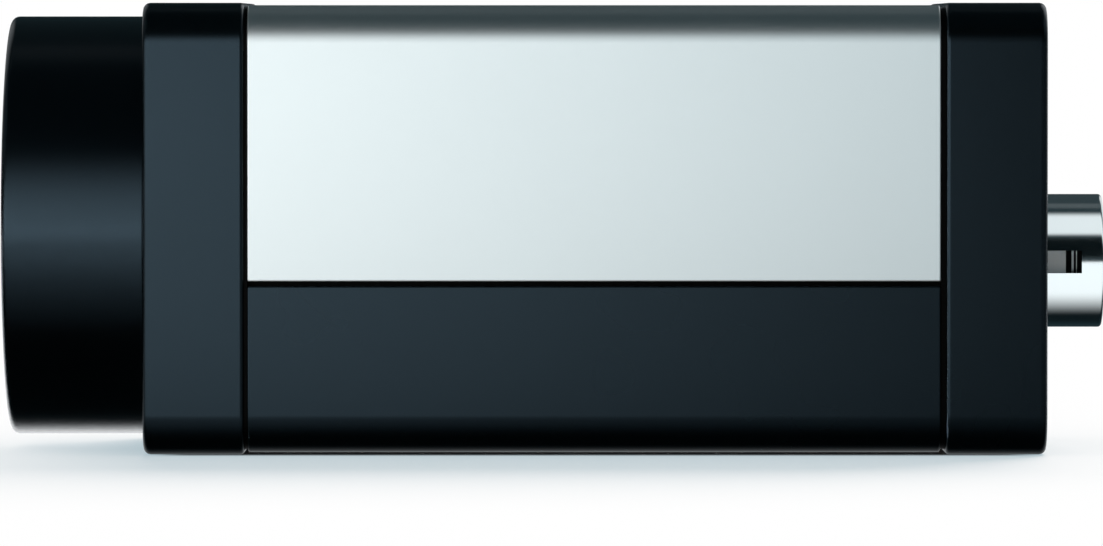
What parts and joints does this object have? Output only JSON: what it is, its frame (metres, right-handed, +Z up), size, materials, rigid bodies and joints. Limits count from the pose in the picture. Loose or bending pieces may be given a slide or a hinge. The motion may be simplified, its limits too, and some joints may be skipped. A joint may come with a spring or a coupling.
{
  "type": "machine vision camera",
  "caption": "Small square network camera for machine vision: threaded lens nose, black end plates, silver cover over a black tray, network jack and round latching connector at the rear.",
  "frame": {"origin": "centre of the bounding box at the underside of the end plates", "axes": "+X from the lens mount to the connectors, +Z up, the optical axis along X"},
  "size_m": [0.0708, 0.029, 0.029],
  "materials": {
    "black_gloss_anodised": "smooth black anodised, turned",
    "black_anodised": "fine satin black anodised",
    "silver_anodised": "satin clear anodised",
    "optical_glass": "polished, infrared-cut coating",
    "seal_rubber": "matt",
    "black_steel": "black oxide",
    "ceramic": "brown sensor ceramic",
    "silicon": "polished silicon",
    "circuit_board": "green solder mask",
    "nickel_brass": "nickel plated",
    "zinc_steel": "zinc plated",
    "connector_plastic": "black moulding",
    "ivory_plastic": "ivory moulding",
    "chip_plastic": "black epoxy",
    "thermal_silicone": "soft thermal pad",
    "plain_aluminium": "bare folded sheet",
    "capacitor_can": "drawn can",
    "tinned_steel": "tin plated sheet",
    "gold_contact": "gold flash over nickel",
    "nickel_shell": "bright nickel",
    "grey_insulator": "grey moulding",
    "clear_plastic": "clear light pipe",
    "lamp_body": "white lamp body"
  },
  "bodies": {
    "root": {"lens_mount_ring": "black_gloss_anodised", "filter_glass": "optical_glass", "front_plate": "black_anodised", "upper_cover": "silver_anodised", "lower_tray": "black_anodised", "rear_plate": "black_anodised", "rear_screws": "black_steel", "sensor_package": "ceramic", "sensor_die": "silicon", "sensor_cover_glass": "optical_glass", "sensor_seal_frame": "seal_rubber", "sensor_board": "circuit_board", "board_spacers": "nickel_brass", "board_screws": "zinc_steel", "board_link_plug": "ivory_plastic", "board_link_socket": "ivory_plastic", "processor_board": "circuit_board", "image_processor_chip": "chip_plastic", "memory_chips": "chip_plastic", "thermal_pad": "thermal_silicone", "heat_bridge": "plain_aluminium", "interface_socket": "connector_plastic", "interface_board": "circuit_board", "network_transformer": "chip_plastic", "network_transceiver_chip": "chip_plastic", "power_inductor": "chip_plastic", "buffer_capacitors": "capacitor_can", "optocouplers": "ivory_plastic", "status_lamps": "lamp_body", "light_pipes": "clear_plastic", "network_jack_shield": "tinned_steel", "network_jack_housing": "connector_plastic", "network_jack_contacts": "gold_contact", "io_connector_shell": "nickel_shell", "io_connector_insulator": "grey_insulator", "io_connector_pins": "gold_contact", "io_board": "circuit_board"}
  },
  "joints": []
}
